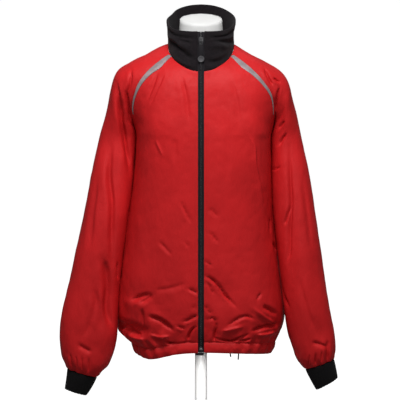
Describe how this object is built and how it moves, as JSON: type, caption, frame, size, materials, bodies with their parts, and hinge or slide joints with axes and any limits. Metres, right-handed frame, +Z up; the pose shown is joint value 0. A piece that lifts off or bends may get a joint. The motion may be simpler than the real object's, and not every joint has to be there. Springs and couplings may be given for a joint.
{
  "type": "track jacket on a limbless dress form with a stand",
  "caption": "Zipped raglan track jacket with stand collar, ribbed cuffs and a drawn hem, worn by a limbless dress form on a pole and round base.",
  "frame": {"origin": "centre of the underside of the stand's base, on the floor", "axes": "+Z up the pole, +X to the wearer's left, -Y the way the jacket faces"},
  "size_m": [0.6395, 0.2678, 0.9445],
  "materials": {
    "shell_fabric": "thin woven shell cloth, soft sheen",
    "fleece": "brushed, matt",
    "rib_knit": "ribbed knit, matt",
    "reflective_tape": "grey reflective tape",
    "zip_tape": "woven tape with a coil chain",
    "zip_plastic": "moulded",
    "slider_metal": "black enamel",
    "pull_rubber": "matt",
    "button_plastic": "moulded",
    "drawcord": "braided",
    "form_gloss": "smooth white shell",
    "stand_white": "white enamel"
  },
  "bodies": {
    "jacket": {"front_right": "shell_fabric", "front_left": "shell_fabric", "back": "shell_fabric", "sleeve_right": "shell_fabric", "sleeve_left": "shell_fabric", "hem_casing": "shell_fabric", "collar": "fleece", "cuff_right": "rib_knit", "cuff_left": "rib_knit", "piping_right": "reflective_tape", "piping_left": "reflective_tape", "pocket_zip_right": "zip_tape", "pocket_zip_left": "zip_tape", "zip_tape_right": "zip_tape", "zip_tape_left": "zip_tape", "zip_retainer": "zip_plastic", "zip_slider": "slider_metal", "drawcord_end_1": "drawcord", "drawcord_end_2": "drawcord", "form_torso": "form_gloss", "stand_pole": "stand_white", "stand_base": "stand_white"},
    "pull": {"pull_eye": "slider_metal", "pull_strap": "pull_rubber", "pull_button": "button_plastic"}
  },
  "joints": [
    {"name": "pull_swing", "type": "hinge", "parent": "jacket", "child": "pull", "pos_m": [0, -0.09127, 0.86945], "axis": [-1, 0, 0], "range_deg": [0, 150]}
  ]
}
